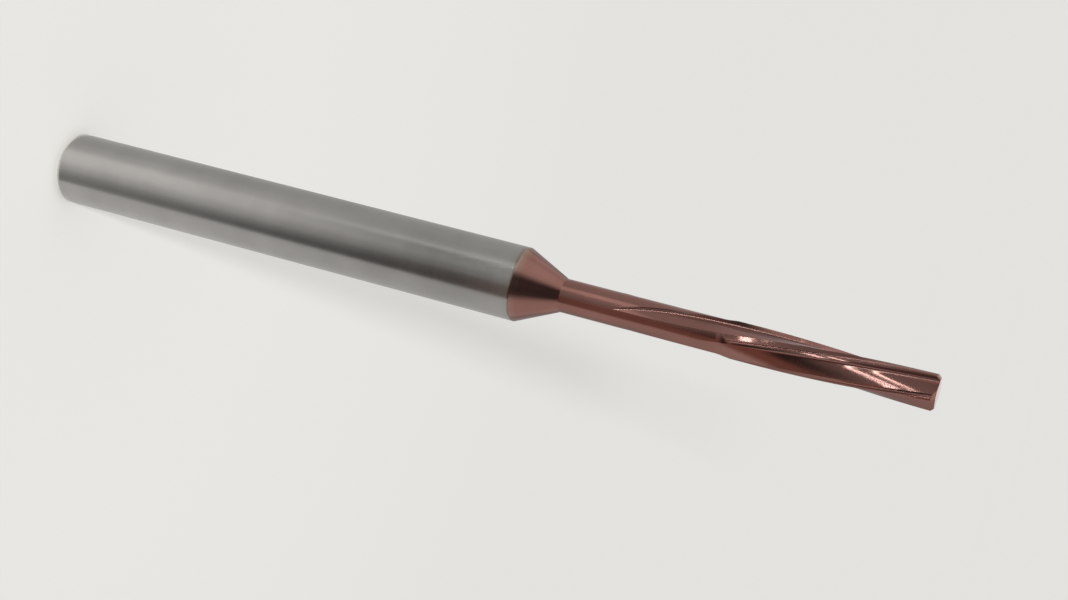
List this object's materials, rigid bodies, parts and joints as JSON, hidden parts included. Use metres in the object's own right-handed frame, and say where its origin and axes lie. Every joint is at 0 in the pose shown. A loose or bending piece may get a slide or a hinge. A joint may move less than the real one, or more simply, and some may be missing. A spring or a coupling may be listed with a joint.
{
  "type": "carbide reamer",
  "caption": "Solid carbide reamer: plain round shank, short cone, slim neck and a coated cutting end with left-hand helical flutes and a flat tip.",
  "frame": {"origin": "centre of the flat shank end, on the axis", "axes": "+Z along the tool's axis from the shank end to the tip, so the tool stands on its shank end; +X through the cutting edge of the first tooth at the tip"},
  "size_m": [0.004, 0.004, 0.05],
  "materials": {
    "ground_carbide": "Ground bare carbide on the shank, satin grey. From just below the cone to the tip it carries a thin glossy copper-brown coating."
  },
  "bodies": {
    "root": {"reamer": "ground_carbide"}
  },
  "joints": []
}
